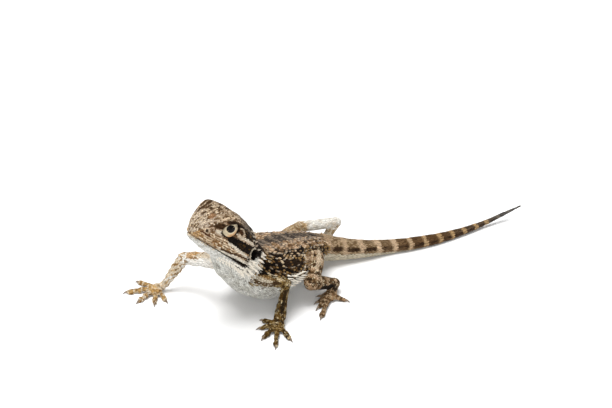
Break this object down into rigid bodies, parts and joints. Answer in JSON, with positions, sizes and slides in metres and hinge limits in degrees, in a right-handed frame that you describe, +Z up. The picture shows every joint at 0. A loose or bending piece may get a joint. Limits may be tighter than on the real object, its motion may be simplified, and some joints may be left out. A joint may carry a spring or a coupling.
{
  "type": "young central bearded dragon",
  "caption": "Life-size still model of a young bearded dragon lizard, standing on four bent legs with its head raised and its tail laid back along the floor.",
  "frame": {"origin": "centre of the bounding box at floor level, under the soles of the feet and the tail", "axes": "+Y from the head towards the tail, +X to the animal's left, +Z up; the head faces -Y"},
  "size_m": [0.0624, 0.1102, 0.0377],
  "materials": {
    "skin": "matt keeled scales, brown, tan and cream",
    "throat": "matt smooth pale scales",
    "eye": "wet gloss, cream iris and black pupil"
  },
  "bodies": {
    "root": {"head": "skin", "jaw": "throat", "eye_left": "eye", "eye_right": "eye", "neck": "skin", "torso": "skin", "tail_1": "skin", "tail_2": "skin", "tail_3": "skin", "tail_4": "skin", "upper_arm_left": "skin", "forearm_left": "skin", "hand_left": "skin", "thigh_left": "skin", "shank_left": "skin", "foot_left": "skin", "upper_arm_right": "skin", "forearm_right": "skin", "hand_right": "skin", "thigh_right": "skin", "shank_right": "skin", "foot_right": "skin"}
  },
  "joints": []
}
